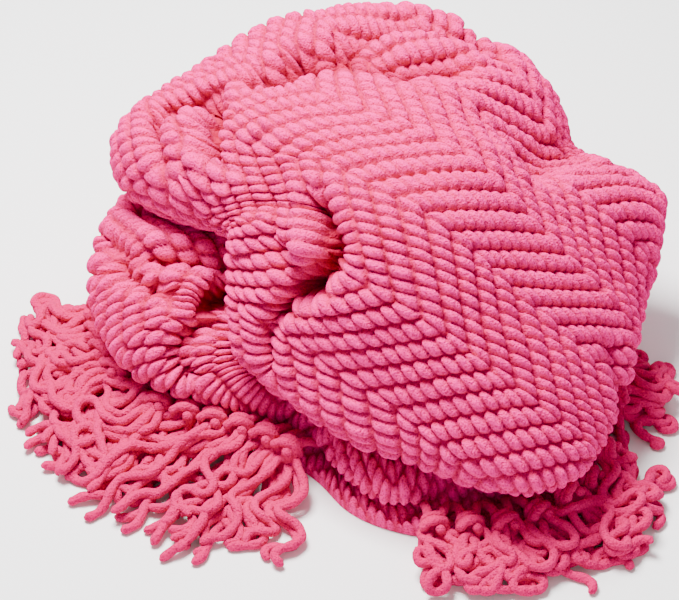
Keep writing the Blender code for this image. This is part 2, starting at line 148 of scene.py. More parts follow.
# Creases: depth at the middle, half width, and the line that each follows, as pairs of azimuth and station.
CREASES = (
    ("valley behind the crown, deep end", 0.032, 0.034, ((131, 1.30), (126, 1.16), (117, 1.27))),
    ("valley behind the crown", 0.020, 0.036, ((117, 1.27), (101, 1.14), (74, 0.95), (58, 1.27))),
    ("groove between the two back ridges", 0.020, 0.028, ((98, 1.35), (80, 1.68), (66, 1.8), (54, 1.9))),
    (
        "groove in the nose", 0.030, 0.021,
        ((142, 1.54), (145, 1.78), (150, 2.02), (157, 2.42), (163, 2.78), (167, 3.14)),
    ),
    ("hollow of the nose", 0.050, 0.026, ((148, 1.5), (155, 1.46), (162, 1.66))),
    ("tongue in the nose", -0.008, 0.018, ((152, 1.72), (158, 1.95), (165, 2.2))),
    (
        "pocket in the front flap", 0.044, 0.029,
        ((229, 1.40), (243, 1.50), (250, 1.72), (246, 1.98), (239, 2.3)),
    ),
    ("crease from the pocket", 0.020, 0.020, ((239, 2.3), (233, 2.54), (228, 2.7))),
    (
        "rolled edge beside the pocket", -0.010, 0.024,
        ((198, 2.9), (198, 2.6), (206, 2.1), (220, 1.82), (230, 1.9)),
    ),
    ("slack beside the pocket", 0.014, 0.034, ((205, 2.0), (222, 2.2), (232, 2.3))),
    ("line under the pocket", 0.018, 0.020, ((233, 2.4), (228, 2.8), (228, 3.3), (231, 3.8))),
    ("upper wrinkle of the left lobe", 0.030, 0.022, ((166, 9.6), (177, 8.8), (175, 8.2))),
    ("lower wrinkle of the left lobe", 0.028, 0.019, ((176, 9.4), (187, 8.8))),
    ("pit of the left lobe", 0.060, 0.024, ((190, 8.46), (187, 8.3))),
    ("small hole of the left lobe", 0.024, 0.015, ((158, 8.9), (159, 8.68))),
    ("groove under the pit", 0.024, 0.022, ((195, 8.5), (200, 8.9), (205, 9.3))),
    ("slack at the right corner", 0.014, 0.036, ((14, 1.9), (26, 2.3), (30, 2.9))),
    ("fall of the back, right", 0.016, 0.040, ((62, 2.7), (66, 3.4), (64, 4.2))),
    ("fall of the back, left", 0.018, 0.042, ((104, 2.8), (107, 3.5), (104, 4.3))),
    ("lower roll at the back, right", 0.016, 0.040, ((80, 9.0), (84, 9.8), (82, 10.6))),
    ("lower roll at the back, left", 0.016, 0.040, ((121, 9.0), (124, 9.8), (122, 10.6))),
    ("lower roll at the right", 0.014, 0.036, ((33, 9.0), (35, 9.8), (34, 10.5))),
    ("gather at the lower right", 0.012, 0.026, ((334, 3.3), (331, 3.9), (333, 4.4))),
)
# How finely a crease's line is stepped, and how many stations from its middle it may still press.
CREASE_STEPS, CREASE_STATIONS = 4, 2.0
# How far from a point its neighbours are taken for the smooth cloth's normal, in degrees and in stations.
NORMAL_TURN, NORMAL_STATION, END_MARGIN = 0.5, 0.02, 0.03


def hermite(x, points, slopes, at, span):
    """Cubic through points with the given slopes, between knots span and span + 1 of each row."""
    row = np.arange(len(at))
    width = x[row, span + 1] - x[row, span]
    t = ((at - x[row, span]) / width)[:, None]
    width = width[:, None]
    start, end = points[row, span], points[row, span + 1]
    leave, arrive = slopes[row, span] * width, slopes[row, span + 1] * width
    return (
        (2 * t**3 - 3 * t**2 + 1) * start
        + (t**3 - 2 * t**2 + t) * leave
        + (3 * t**2 - 2 * t**3) * end
        + (t**3 - t**2) * arrive
    )


def section_points(azimuth):
    """The (radius, height) of each station of the sections at these azimuths."""
    rows = np.array(SECTIONS, float)
    before, after = rows[-2:].copy(), rows[:2].copy()
    before[:, 0] -= 360
    after[:, 0] += 360
    rows = np.vstack([before, rows, after])
    x, y = rows[:, 0], rows[:, 1:]
    azimuth = np.asarray(azimuth, float) % 360
    span = np.searchsorted(x, azimuth, side="right") - 1
    spread = [np.broadcast_to(a, (len(azimuth),) + a.shape) for a in (x, y, np.gradient(y, x, axis=0))]
    s = dict(zip(SECTION_COLUMNS[1:], hermite(*spread, azimuth, span).T))
    level = np.zeros(len(azimuth))
    rest = CLOTH_THICKNESS / 2
    tuck_z = (s["lip_z"] + s["top_z"]) / 2
    gap = np.minimum(TUCK_SHARE * (s["lip_z"] - s["top_z"]), TUCK_MOST)
    stations = (
        (level, CROWN[2] + level),
        (SLOPE_REACH * s["shoulder_r"], CROWN[2] - SLOPE_DROP * (CROWN[2] - s["shoulder_z"])),
        (s["shoulder_r"], s["shoulder_z"]),
        (BROW_REACH * s["fold_r"], s["brow_z"]),
        (s["fold_r"], s["fold_z"]),
        (s["fold_r"] - LIP_BACK, s["lip_z"]),
        (s["tuck_r"] + TUCK_ROUND * gap, tuck_z + gap),
        (s["tuck_r"], tuck_z),
        (s["tuck_r"] + TUCK_ROUND * gap, tuck_z - gap),
        (s["roll_r"] - TOP_BACK * (s["top_z"] - s["roll_z"]), s["top_z"]),
        (s["roll_r"], s["roll_z"]),
        (s["hem_r"] - HEM_BEND_BACK, HEM_BEND_RISE * s["roll_z"] + rest),
        (s["hem_r"] - HEM_FLAT_BACK, rest + level),
        (s["hem_r"], rest + level),
    )
    return np.stack([np.stack(pair, axis=-1) for pair in stations], axis=1)


def bare_surface(azimuth, station):
    """Points of the cloth's middle surface before its creases are pressed in."""
    points = section_points(azimuth)
    gaps = np.linalg.norm(np.diff(points, axis=1), axis=2) ** 0.5
    steps = np.diff(points, axis=1) / gaps[..., None]
    x = np.concatenate([np.zeros((len(gaps), 1)), np.cumsum(gaps, axis=1)], axis=1)
    slopes = np.empty_like(points)
    before, after = gaps[:, :-1, None], gaps[:, 1:, None]
    slopes[:, 1:-1] = (steps[:, 1:] * before + steps[:, :-1] * after) / (before + after)
    slopes[:, 0] = steps[:, 0] * (1, 0)
    slopes[:, -1] = steps[:, -1]
    span = np.clip(station.astype(int), 0, LAST_STATION - 1)
    row = np.arange(len(x))
    at = x[row, span] + (station - span) * gaps[row, span]
    radius, height = hermite(x, points, slopes, at, span).T
    height = np.maximum(height, CLOTH_THICKNESS / 2)
    turn = np.radians(azimuth)
    return np.stack([CROWN[0] + radius * np.cos(turn), CROWN[1] + radius * np.sin(turn), height], axis=1)


def crease_depth(points, station):
    """How deep the creases press these points of the smooth surface in, in metres."""
    press = np.zeros(len(points))
    for _, depth, half_width, line in CREASES:
        turns, stops = np.array(line, float).T
        knots = np.arange(len(line))
        fine = np.linspace(0, knots[-1], CREASE_STEPS * knots[-1] + 1)
        path = bare_surface(np.interp(fine, knots, turns), np.interp(fine, knots, stops))
        away = np.linalg.norm(points - path.mean(axis=0), axis=1)
        near = np.flatnonzero(
            (np.abs(station - stops.mean()) < CREASE_STATIONS)
            & (away < half_width + np.ptp(path, axis=0).max())
        )
        nearest = np.full(len(near), np.inf)
        for start, end in zip(path[:-1], path[1:]):
            run = end - start
            share = np.clip((points[near] - start) @ run / (run @ run), 0, 1)
            beside = np.linalg.norm(points[near] - start - share[:, None] * run, axis=1)
            nearest = np.minimum(nearest, beside)
        side = np.minimum(nearest / half_width, 1)
        press[near] += depth * (1 - side**2) ** 2
    return press


def creased_surface(azimuth, station):
    """Points of the middle surface with its creases, found from the smooth surface and its own normals."""
    points = bare_surface(azimuth, station)
    middle = np.clip(station, END_MARGIN, LAST_STATION - END_MARGIN)
    around = bare_surface(azimuth + NORMAL_TURN, middle) - bare_surface(azimuth - NORMAL_TURN, middle)
    along = bare_surface(azimuth, middle + NORMAL_STATION) - bare_surface(azimuth, middle - NORMAL_STATION)
    normal = np.cross(along, around)
    normal /= np.linalg.norm(normal, axis=1)[:, None]
    return points - crease_depth(points, station)[:, None] * normal


def running_length(points):
    """The length along rows of points, from nothing at the first one."""
    runs = np.cumsum(np.linalg.norm(np.diff(points, axis=-2), axis=-1), axis=-1)
    return np.concatenate([np.zeros(runs.shape[:-1] + (1,)), runs], axis=-1)


# How far along the cloth each station lies, measured from the crown, so that the knit keeps its real size.
TURN_STEP, STOP_STEPS, SHARE_STEPS = 3.0, 520, 600
TURNS = np.arange(0, 361, TURN_STEP)
STOPS = np.linspace(0, LAST_STATION, STOP_STEPS + 1)
turn_grid, stop_grid = np.meshgrid(TURNS, STOPS, indexing="ij")
section_grid = bare_surface(turn_grid.ravel(), stop_grid.ravel()).reshape(len(TURNS), len(STOPS), 3)
REACHES = running_length(section_grid)


def reach_at(azimuth, stop):
    """The cloth's length from the crown to a station, at these azimuths."""
    column = REACHES[:, int(round(stop / LAST_STATION * STOP_STEPS))]
    return np.interp(np.asarray(azimuth) % 360, TURNS, column)


def station_of(azimuth, reach):
    """The station that lies this far from the crown along the cloth."""
    shares = np.linspace(0, 1, SHARE_STEPS + 1)
    inverse = np.stack([np.interp(shares * row[-1], row, STOPS) for row in REACHES])
    azimuth = np.asarray(azimuth) % 360
    column = np.minimum(azimuth / TURN_STEP, len(TURNS) - 1.001)
    low = column.astype(int)
    part = column - low
    place = np.clip(reach / reach_at(azimuth, LAST_STATION), 0, 0.9999) * SHARE_STEPS
    step = place.astype(int)
    rest = place - step
    near = inverse[low, step] * (1 - rest) + inverse[low, step + 1] * rest
    far = inverse[low + 1, step] * (1 - rest) + inverse[low + 1, step + 1] * rest
    return near * (1 - part) + far * part


# The knit: ropes 20 mm apart that turn a right angle every six ropes, made of plump slanted stitches.
ROPE = 0.020
ROPE_RISE = ROPE * math.sqrt(2)
LEG = 6 * ROPE / math.sqrt(2)
STITCH = 0.0125
# How much a stitch leans, over what length the lean dies out at a turn, and how stitches shift rope by rope.
STITCH_LEAN, LEAN_EASE, STITCH_SHIFT = 0.45, 0.009, 0.382
# The outer face's base above the cloth's middle, the ropes' height on it, and the inner face's depth.
ROPE_BASE, ROPE_HEIGHT, INNER_DROP = 0.0005, 0.0088, 0.005
# How far a stitch falls at its ends and a rope at its sides, how round both are, and how unlike stitches are.
STITCH_FALL, ROPE_FALL, ROUNDNESS, UNLIKE = 0.93, 0.97, 2.5, 0.20
STITCH_LUMPS = np.random.default_rng(11).uniform(-1, 1, 4999)
# The upper cloth's grid, half its width, the station where it ends and where its inner face is first made.
CELLS_A_ROPE = 12
UPPER_HALF, UPPER_END = 0.60, 5.5
INNER_LEVEL = -0.01
# Slow waves in the knit and in the height of the cloth, and the yarn's own unevenness, as height and length.
DRIFT, CLOTH_WAVE, YARN_WAVE = 0.0022, (0.0020, 0.13), (0.0005, 0.009)
# The crown's place in the flat knit, how far the knit is turned there, in degrees, and how much more it is
# turned per metre to the right of the crown and to the left, where the cloth is pulled askew over the heap.
# The skew stops growing past a place on either side, and the left one fades out behind the crown.
CROWN_AT, KNIT_TURN, SKEW_RIGHT, SKEW_LEFT = (0.034, 0.034), 12.0, 45.0, 100.0
SKEW_TO_RIGHT, SKEW_TO_LEFT, SKEW_FADE = 0.35, -0.2, 10
NORMAL_STEP = 0.004
FLOOR_GAP = 0.0004


def soft_noise(u, v, size, seed):
    """Smooth uneven waves about one size long, mostly between -1 and 1."""
    dice = np.random.default_rng(seed)
    total = np.zeros(len(u))
    for _ in range(5):
        turn, shift = dice.uniform(0, 2 * math.pi), dice.uniform(0, 2 * math.pi)
        wave = size * dice.uniform(0.7, 1.5)
        total += np.sin(2 * math.pi * (u * math.cos(turn) + v * math.sin(turn)) / wave + shift)
    return total / 3.2


def knit_place(x, y):
    """The upper pattern's plane is turned by 45 degrees to the knit's own u and v."""
    return (x + y) / math.sqrt(2), (x - y) / math.sqrt(2)


def rope_at(u, v):
    """Which way the zigzag runs here, as 0 or 1, the rope's number, and the place across it, -0.5 to 0.5."""
    leg = np.floor(u / LEG)
    fold = np.where(leg % 2 == 0, u - leg * LEG, (leg + 1) * LEG - u)
    line = (v - fold) / ROPE_RISE
    rope = np.floor(line + 1e-6)
    return leg % 2, rope, line - rope - 0.5


def knit_relief(u, v):
    """Height of the knit above the cloth: rounded ropes in zigzag, each a row of slanted stitches."""
    turned, rope, across = rope_at(u, v)
    to_turn = np.abs((u / LEG + 0.5) % 1 - 0.5) * LEG
    lean = np.where(turned == 0, 1, -1) * STITCH_LEAN * np.minimum(to_turn / LEAN_EASE, 1)
    along = u * math.sqrt(2) / STITCH + lean * across * ROPE / STITCH + STITCH_SHIFT * rope
    stitch = np.floor(along)
    middle = 2 * (along - stitch) - 1
    lump = STITCH_LUMPS[(stitch * 31 + rope * 57).astype(int) % len(STITCH_LUMPS)]
    fall = STITCH_FALL * np.abs(middle) ** ROUNDNESS
    plump = np.sqrt(np.clip(1 - fall - ROPE_FALL * np.abs(2 * across) ** ROUNDNESS, 0, 1))
    return ROPE_HEIGHT * plump * (1 + UNLIKE * lump) + YARN_WAVE[0] * soft_noise(u, v, YARN_WAVE[1], 7)


# The knit is shared out more evenly round the heap by the length of the shoulder's ring. It stays as it is at
# one azimuth and at the crown, and from there the sharing grows to its full share at a reach.
EVEN_FROM, EVEN_STATION, EVEN_SHARE, EVEN_REACH = 305, 2.7, 0.66, 0.22
even_turns = np.arange(EVEN_FROM, EVEN_FROM + 361)
ring_runs = running_length(bare_surface(even_turns.astype(float), np.full(361, EVEN_STATION)))
even_shares = EVEN_FROM + 360 * ring_runs / ring_runs[-1]


def from_crown(x, y):
    """From the upper pattern's plane to an azimuth on the heap and a reach along the cloth from its crown."""
    front = np.clip(0.5 - SKEW_FADE * y, 0, 1)
    askew = SKEW_RIGHT * np.clip(x, 0, SKEW_TO_RIGHT) + SKEW_LEFT * np.clip(x, SKEW_TO_LEFT, 0) * front
    x, y = x - CROWN_AT[0], y - CROWN_AT[1]
    turn = (np.degrees(np.arctan2(y, x)) + KNIT_TURN + askew - EVEN_FROM) % 360 + EVEN_FROM
    reach = np.hypot(x, y)
    even = np.interp(turn, even_shares, even_turns)
    return turn + EVEN_SHARE * (even - turn) * np.clip(reach / EVEN_REACH, 0, 1) ** 2, reach


def upper_spot(x, y):
    """From the upper pattern's plane to the azimuth and the station where that point lies."""
    x = x + DRIFT * soft_noise(x, y, 0.11, 1)
    y = y + DRIFT * soft_noise(x, y, 0.12, 2)
    azimuth, reach = from_crown(x, y)
    return azimuth, station_of(azimuth, reach)


def sheet_normal(spot, a, b):
    """Outward unit normals of a laid surface, taken over 8 mm so that creases stay soft."""
    h = NORMAL_STEP
    across = creased_surface(*spot(a + h, b)) - creased_surface(*spot(a - h, b))
    along = creased_surface(*spot(a, b + h)) - creased_surface(*spot(a, b - h))
    normal = np.cross(across, along)
    return normal / np.maximum(np.linalg.norm(normal, axis=1), 1e-9)[:, None]


def upper_cells(bm, step, level, keep):
    """A flat square grid of whole dozens of cells in the pattern's plane, cut to those that a piece keeps."""
    cells = 12 * math.ceil(UPPER_HALF / (12 * step))
    lift = Matrix.Translation((0, 0, level))
    made = bmesh.ops.create_grid(
        bm, x_segments=2 * cells, y_segments=2 * cells, size=cells * step, matrix=lift
    )
    faces = list({face for vert in made["verts"] for face in vert.link_faces})
    middle = np.array([face.calc_center_median()[:2] for face in faces])
    kept = keep(middle[:, 0], middle[:, 1])
    bmesh.ops.delete(bm, geom=[face for face, stays in zip(faces, kept) if not stays], context="FACES")
    return [face for face, stays in zip(faces, kept) if stays]


def open_edges(faces):
    """The edges of these faces that have a face on one side only."""
    edges = {edge for face in faces for edge in face.edges}
    return [edge for edge in edges if edge.is_boundary]


def pattern_uv(bm, to_pattern):
    """Keeps each corner's place in the flat knit, in metres, for the yarn's material."""
    layer = bm.loops.layers.uv.new("knit")
    for face in bm.faces:
        for loop in face.loops:
            loop[layer].uv = to_pattern(loop.vert.co)


def slab_mesh(bm, piece_name):
    """The finished slab as a smooth mesh that faces outwards, and its points' three coordinates."""
    bmesh.ops.recalc_face_normals(bm, faces=bm.faces)
    for face in bm.faces:
        face.smooth = True
    mesh = bpy.data.meshes.new(piece_name)
    bm.to_mesh(mesh)
    bm.free()
    places = np.empty(len(mesh.vertices) * 3)
    mesh.vertices.foreach_get("co", places)
    return mesh, places.reshape(-1, 3).T


def lay_sheet(piece_name, mesh, spot, a, b, u, v, inside):
    """Lays a closed slab's points onto the heap: its outer face gets the knit, its inner face stays plain."""
    raised = ROPE_BASE + knit_relief(u, v) + CLOTH_WAVE[0] * soft_noise(u, v, CLOTH_WAVE[1], 3)
    azimuth, station = spot(a, b)
    laid = creased_surface(azimuth, station)
    laid += np.where(inside, -INNER_DROP, raised)[:, None] * sheet_normal(spot, a, b)
    laid[:, 2] = np.maximum(laid[:, 2], FLOOR_GAP)
    mesh.vertices.foreach_set("co", laid.ravel())
    # The depth of the creases at each point, kept for the material's painted shade in the hollows.
    hollow = mesh.attributes.new("hollow", "FLOAT", "POINT")
    hollow.data.foreach_set("value", crease_depth(bare_surface(azimuth, station), station))
    mesh.update()
    mesh.materials.append(knit_yarn)
    piece = bpy.data.objects.new(piece_name, mesh)
    bpy.context.scene.collection.objects.link(piece)
    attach(piece, "root")
    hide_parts("blanket")
    return piece


def node_group(group_name, inputs, outputs):
    """A new node group with its sockets, given as names with their kinds, and its two end nodes."""
    group = bpy.data.node_groups.new(group_name, "ShaderNodeTree")
    for side, sockets in (("INPUT", inputs), ("OUTPUT", outputs)):
        for socket, kind in sockets:
            group.interface.new_socket(socket, in_out=side, socket_type="NodeSocket" + kind)
    return group, group.nodes.new("NodeGroupInput"), group.nodes.new("NodeGroupOutput")


def place_group(tree, group, **links):
    """A node group put into a tree, with each input linked. A socket's spaces are written as underscores."""
    node = tree.nodes.new("ShaderNodeGroup")
    node.node_tree = group
    for socket, value in links.items():
        tree.links.new(value, node.inputs[socket.replace("_", " ")])
    return node


def worked_out(tree, operation, *values):
    """One step of arithmetic in a node tree. A value is a number or another node's output."""
    node = tree.nodes.new("ShaderNodeMath")
    node.operation = operation
    for k, value in enumerate(values):
        if isinstance(value, (int, float)):
            node.inputs[k].default_value = value
        else:
            tree.links.new(value, node.inputs[k])
    return node.outputs[0]


def rising(tree, value, start, end, top=1.0, kind="SMOOTHSTEP"):
    """A share that goes from nothing to its top while a value goes from its start to its end."""
    node = tree.nodes.new("ShaderNodeMapRange")
    node.interpolation_type = kind
    node.inputs["From Min"].default_value = start
    node.inputs["From Max"].default_value = end
    node.inputs["To Max"].default_value = top
    tree.links.new(value, node.inputs["Value"])
    return node.outputs["Result"]


def mixed_colour(tree, share, first, second):
    """Mixes two colours, each a value or another node's output, by a share."""
    node = tree.nodes.new("ShaderNodeMix")
    node.data_type = "RGBA"
    tree.links.new(share, node.inputs["Factor"])
    for socket, colour in ((node.inputs[6], first), (node.inputs[7], second)):
        if isinstance(colour, tuple):
            socket.default_value = colour
        else:
            tree.links.new(colour, socket)
    return node.outputs[2]


# Chenille fuzz: short soft pile all over the yarn, with small dark flecks where the pile parts.
PILE_NOISES = (
    # scale, detail
    (520.0, 3.0),
    (260.0, 1.0),
    (22.0, 2.0),
)
TUFTS = 0.9
FLECKS_FROM, FLECKS_TO = 0.47, 0.38
fuzz, fuzz_in, fuzz_out = node_group(
    "chenille fuzz", (("Place", "Vector"),), (("Height", "Float"), ("Flecks", "Float"), ("Patches", "Float"))
)
pile_outputs = []
for scale, detail in PILE_NOISES:
    noise = fuzz.nodes.new("ShaderNodeTexNoise")
    noise.inputs["Scale"].default_value = scale
    noise.inputs["Detail"].default_value = detail
    fuzz.links.new(fuzz_in.outputs["Place"], noise.inputs["Vector"])
    pile_outputs.append(noise.outputs["Fac"])
tips, tufts, patches = pile_outputs
flecks = rising(fuzz, tips, FLECKS_FROM, FLECKS_TO, kind="LINEAR")
fuzz.links.new(worked_out(fuzz, "MULTIPLY_ADD", tufts, TUFTS, tips), fuzz_out.inputs["Height"])
fuzz.links.new(flecks, fuzz_out.inputs["Flecks"])
fuzz.links.new(patches, fuzz_out.inputs["Patches"])

# Where the grooves of the knit lie: between ropes, and between the stitches of a rope. It works out the same
# pattern as knit_relief does, from the place in the flat knit.
ROPE_GROOVE, STITCH_GROOVE = (0.28, 0.50), (0.26, 0.50)
zigzag, zigzag_in, zigzag_out = node_group(
    "zigzag knit", (("Knit Place", "Vector"),), (("Rope Groove", "Float"), ("Stitch Groove", "Float"))
)
split = zigzag.nodes.new("ShaderNodeSeparateXYZ")
zigzag.links.new(zigzag_in.outputs["Knit Place"], split.inputs[0])
u_out, v_out = split.outputs["X"], split.outputs["Y"]
raised_out = worked_out(zigzag, "SUBTRACT", v_out, worked_out(zigzag, "PINGPONG", u_out, LEG))
line_out = worked_out(zigzag, "DIVIDE", raised_out, ROPE_RISE)
rope_out = worked_out(zigzag, "FLOOR", line_out)
across_out = worked_out(zigzag, "SUBTRACT", worked_out(zigzag, "FRACT", line_out), 0.5)
legs_out = worked_out(zigzag, "DIVIDE", u_out, LEG)
half_leg = worked_out(zigzag, "FRACT", worked_out(zigzag, "ADD", legs_out, 0.5))
near_turn = worked_out(zigzag, "ABSOLUTE", worked_out(zigzag, "SUBTRACT", half_leg, 0.5))
ease = worked_out(zigzag, "MINIMUM", worked_out(zigzag, "MULTIPLY", near_turn, LEG / LEAN_EASE), 1.0)
turned_out = worked_out(zigzag, "FLOORED_MODULO", worked_out(zigzag, "FLOOR", legs_out), 2.0)
side_lean = worked_out(zigzag, "MULTIPLY_ADD", turned_out, -2.0, 1.0)
lean_out = worked_out(zigzag, "MULTIPLY", worked_out(zigzag, "MULTIPLY", side_lean, ease), across_out)
leaning = worked_out(zigzag, "MULTIPLY", lean_out, STITCH_LEAN * ROPE / STITCH)
level_out = worked_out(zigzag, "MULTIPLY_ADD", u_out, math.sqrt(2) / STITCH, leaning)
along_out = worked_out(zigzag, "MULTIPLY_ADD", rope_out, STITCH_SHIFT, level_out)
stitch_out = worked_out(zigzag, "SUBTRACT", worked_out(zigzag, "FRACT", along_out), 0.5)
rope_groove = rising(zigzag, worked_out(zigzag, "ABSOLUTE", across_out), *ROPE_GROOVE)
stitch_groove = rising(zigzag, worked_out(zigzag, "ABSOLUTE", stitch_out), *STITCH_GROOVE)
zigzag.links.new(rope_groove, zigzag_out.inputs["Rope Groove"])
zigzag.links.new(stitch_groove, zigzag_out.inputs["Stitch Groove"])

# The yarn's matt pile, with a faint pink sheen and bumps as high as the pile is long.
YARN_LOOK = {
    "Roughness": 0.92,
    "Specular IOR Level": 0.05,
    "Sheen Weight": 0.08,
    "Sheen Roughness": 0.45,
    "Sheen Tint": (1.0, 0.30, 0.60, 1),
}
PILE_LONG, PILE_STRENGTH = 0.0020, 0.9


def start_yarn(material_name):
    """A new yarn material with its node tree and the fuzz's node."""
    material = bpy.data.materials.new(material_name)
    material.use_nodes = True
    tree = material.node_tree
    where = tree.nodes.new("ShaderNodeTexCoord")
    return material, tree, place_group(tree, fuzz, Place=where.outputs["Object"])


def finish_yarn(tree, tone, height):
    """Gives a yarn material its shader's values, its colour and its pile's bumps."""
    shader = tree.nodes["Principled BSDF"]
    for socket, value in YARN_LOOK.items():
        shader.inputs[socket].default_value = value
    tree.links.new(tone, shader.inputs["Base Color"])
    bumps = tree.nodes.new("ShaderNodeBump")
    bumps.inputs["Distance"].default_value = PILE_LONG
    bumps.inputs["Strength"].default_value = PILE_STRENGTH
    tree.links.new(height, bumps.inputs["Height"])
    tree.links.new(bumps.outputs["Normal"], shader.inputs["Normal"])


# Hot pink chenille. Painted shade: the grooves between the ropes and the hollows of the creases are mixed
# towards deep red, by the groove pattern and by the depth of the creases.
KNIT_PINK, KNIT_PALE = (0.84, 0.0, 0.205, 1), (0.95, 0.003, 0.28, 1)
KNIT_GROOVE_SHADE_AND_FLECKS, KNIT_HOLLOW_SHADE = (0.46, 0.0, 0.045, 1), (0.36, 0.0, 0.022, 1)
STITCH_SHARE, GROOVE_SHADE_SHARE, FLECK_SHARE, GROOVE_DROP = 0.7, 0.75, 0.65, -0.5
HOLLOW_SHADE_FROM, HOLLOW_SHADE_TO, HOLLOW_SHADE_SHARE = 0.004, 0.032, 0.93
knit_yarn, tree, pile = start_yarn("pink chenille knit")
flat_knit = tree.nodes.new("ShaderNodeUVMap")
flat_knit.uv_map = "knit"
ropes = place_group(tree, zigzag, Knit_Place=flat_knit.outputs["UV"])
stitch_groove = worked_out(tree, "MULTIPLY", ropes.outputs["Stitch Groove"], STITCH_SHARE)
groove = worked_out(tree, "MAXIMUM", ropes.outputs["Rope Groove"], stitch_groove)
# Painted shade in the hollows of the creases: the deeper a point is pressed in, the more deep red is mixed
# into its colour.
pressed = tree.nodes.new("ShaderNodeAttribute")
pressed.attribute_name = "hollow"
shaded = rising(tree, pressed.outputs["Fac"], HOLLOW_SHADE_FROM, HOLLOW_SHADE_TO, HOLLOW_SHADE_SHARE)
# Painted shade in the grooves between the ropes and between the stitches; the same deep red also colours the
# pile's flecks.
groove_shade = worked_out(tree, "MULTIPLY", groove, GROOVE_SHADE_SHARE)
in_fleck = worked_out(tree, "MULTIPLY", pile.outputs["Flecks"], FLECK_SHARE)
tone = mixed_colour(tree, pile.outputs["Patches"], KNIT_PALE, KNIT_PINK)
tone = mixed_colour(tree, shaded, tone, KNIT_HOLLOW_SHADE)
tone = mixed_colour(tree, groove_shade, tone, KNIT_GROOVE_SHADE_AND_FLECKS)
tone = mixed_colour(tree, in_fleck, tone, KNIT_GROOVE_SHADE_AND_FLECKS)
finish_yarn(tree, tone, worked_out(tree, "MULTIPLY_ADD", groove, GROOVE_DROP, pile.outputs["Height"]))

# The upper cloth is parted for its size in the groove beside one rope, where the parting can't be seen.
PARTING = 1


def upper_piece(piece_name, front):
    """The part of the upper cloth that lies in front of the parting, or the part behind it."""
    def keep(x, y):
        _, rope, _ = rope_at(*knit_place(x, y))
        azimuth, reach = from_crown(x, y)
        return (reach < reach_at(azimuth, UPPER_END)) & ((rope >= PARTING) == front)

    bm = bmesh.new()
    outer_rim = open_edges(upper_cells(bm, ROPE / CELLS_A_ROPE, 0, keep))
    inner_rim = open_edges(upper_cells(bm, ROPE / 2, INNER_LEVEL, keep))
    for edge in outer_rim:
        edge.smooth = False
    bmesh.ops.bridge_loops(bm, edges=outer_rim + inner_rim)
    pattern_uv(bm, lambda co: knit_place(co.x, co.y))
    mesh, (x, y, level) = slab_mesh(bm, piece_name)
    u, v = knit_place(x, y)
    return lay_sheet(piece_name, mesh, upper_spot, x, y, u, v, level < INNER_LEVEL / 10)


flap = upper_piece("blanket_flap", True)
back = upper_piece("blanket_back", False)

# The lower cloth: the tuck under the flap, the roll that bulges out of it, and the hem on the floor.
# The same sheet running on: in under the flap, out over the lower roll and down to the hem, which is flat on
# the floor. Its zigzags run round the heap. It is parted in one rope's groove, like the upper cloth.
RING_LEGS = 20
RING_LENGTH = RING_LEGS * LEG
RING_RADIUS = RING_LENGTH / (2 * math.pi)
RING_COLUMNS = 60 * RING_LEGS
INNER_RADIUS = RING_RADIUS - 0.01
INNER_ROWS, ROWS_A_ROPE = 6, 10
LOWER_END = 5.3
LOWEST_ROPE, RING_PARTING, HIGHEST_ROPE = -3, 2, 16
SAME_POINT = 0.00002
roll_lengths = running_length(section_grid[:, int(ROLL_STATION / LAST_STATION * STOP_STEPS)])


def ring_azimuth(u):
    """The azimuth of a place round the ring, shared out by the length of the roll."""
    return np.interp((u % RING_LENGTH) / RING_LENGTH * roll_lengths[-1], roll_lengths, TURNS)


def lower_spot(u, v):
    """From the flat knit, u round the heap and v up from the hem, to the azimuth and station of a place."""
    u = u + DRIFT * soft_noise(u, v, RING_LENGTH / 14, 5) * np.clip(v / 0.05, 0, 1)
    azimuth = ring_azimuth(u)
    return azimuth, station_of(azimuth, reach_at(azimuth, LAST_STATION) - v)


def rims_of(bm):
    """The open rims of a ring, the lower one first."""
    left, rims = dict.fromkeys(edge for edge in bm.edges if edge.is_boundary), []
    while left:
        rim = [left.popitem()[0]]
        ends = list(rim[0].verts)
        while ends:
            for following in ends.pop().link_edges:
                if following in left:
                    del left[following]
                    rim.append(following)
                    ends.extend(following.verts)
        rims.append(rim)
    return sorted(rims, key=lambda rim: sum(edge.verts[0].co.z for edge in rim) / len(rim))


def ring_column(vert):
    """The column of the ring that a point stands in."""
    return round(math.atan2(vert.co.y, vert.co.x) / (2 * math.pi) * RING_COLUMNS) % RING_COLUMNS


def stretch_rim(bm, edges, height_of):
    """Draws a rim out to a new row of the inner face, at each column's height."""
    made = bmesh.ops.extrude_edge_only(bm, edges=edges)["geom"]
    verts = {part for part in made if isinstance(part, bmesh.types.BMVert)}
    for vert in verts:
        column = ring_column(vert)
        turn = 2 * math.pi * column / RING_COLUMNS
        vert.co = (INNER_RADIUS * math.cos(turn), INNER_RADIUS * math.sin(turn), height_of(column))
    return [part for part in made if isinstance(part, bmesh.types.BMEdge) and verts.issuperset(part.verts)]


